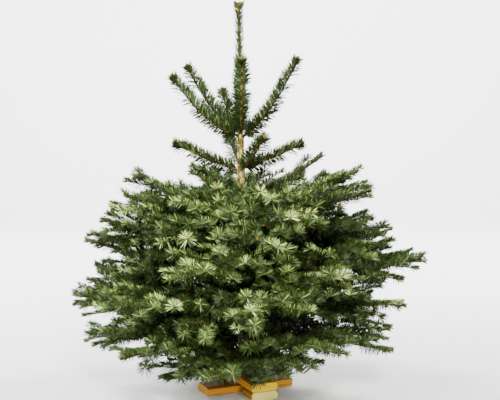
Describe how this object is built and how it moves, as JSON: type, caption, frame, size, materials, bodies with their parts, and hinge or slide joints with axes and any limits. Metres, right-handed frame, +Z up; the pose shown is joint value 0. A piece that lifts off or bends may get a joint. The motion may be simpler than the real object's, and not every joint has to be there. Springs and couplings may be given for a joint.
{
  "type": "christmas tree",
  "caption": "Young cut fir with a single leader, whorled boughs and dense flat sprays of needles, standing on a cross of two sawn wooden boards.",
  "frame": {"origin": "on the floor, under the middle of the stand's lower board", "axes": "+Z up along the trunk, +X to the right of the front view, -Y towards the front"},
  "size_m": [0.8945, 0.8033, 1],
  "materials": {
    "stand_wood": "sawn softwood, planed smooth, with rounded edges",
    "bark": "smooth young bark, yellow-brown above and grey-brown below",
    "needles": "glossy dark green needles, fresh green on young sprays and silvery beneath"
  },
  "bodies": {
    "root": {"bough_6_1": "bark", "bough_6_2": "bark", "bough_6_3": "bark", "bough_6_4": "bark", "bough_6_5": "bark", "bough_6_6": "bark", "foliage_1_1": "needles", "foliage_1_2": "needles", "foliage_1_3": "needles", "foliage_1_4": "needles", "foliage_1_5": "needles", "foliage_2_1": "needles", "foliage_2_2": "needles", "foliage_2_3": "needles", "foliage_2_4": "needles", "foliage_3_1": "needles", "foliage_3_2": "needles", "foliage_3_3": "needles", "foliage_3_4": "needles", "foliage_3_5": "needles", "foliage_4_1": "needles", "foliage_4_2": "needles", "foliage_4_3": "needles", "foliage_4_4": "needles", "foliage_4_5": "needles", "foliage_4_6": "needles", "foliage_4_7": "needles", "foliage_5_1": "needles", "foliage_5_2": "needles", "foliage_5_3": "needles", "foliage_5_4": "needles", "foliage_5_5": "needles", "foliage_5_6": "needles", "foliage_6_1": "needles", "foliage_6_2": "needles", "foliage_6_3": "needles", "foliage_6_4": "needles", "foliage_6_5": "needles", "foliage_6_6": "needles", "foliage_7_1": "needles", "foliage_7_2": "needles", "foliage_7_3": "needles", "foliage_7_4": "needles", "foliage_7_5": "needles", "foliage_7_6": "needles", "foliage_8_1": "needles", "foliage_8_2": "needles", "foliage_8_3": "needles", "foliage_8_4": "needles", "foliage_8_5": "needles", "foliage_9_1": "needles", "foliage_9_2": "needles", "foliage_9_3": "needles", "foliage_9_4": "needles", "leader_needles": "needles", "stand_back_foot": "stand_wood", "stand_front_foot": "stand_wood", "stand_lower_board": "stand_wood", "stand_upper_board": "stand_wood", "trunk": "bark"}
  },
  "joints": []
}
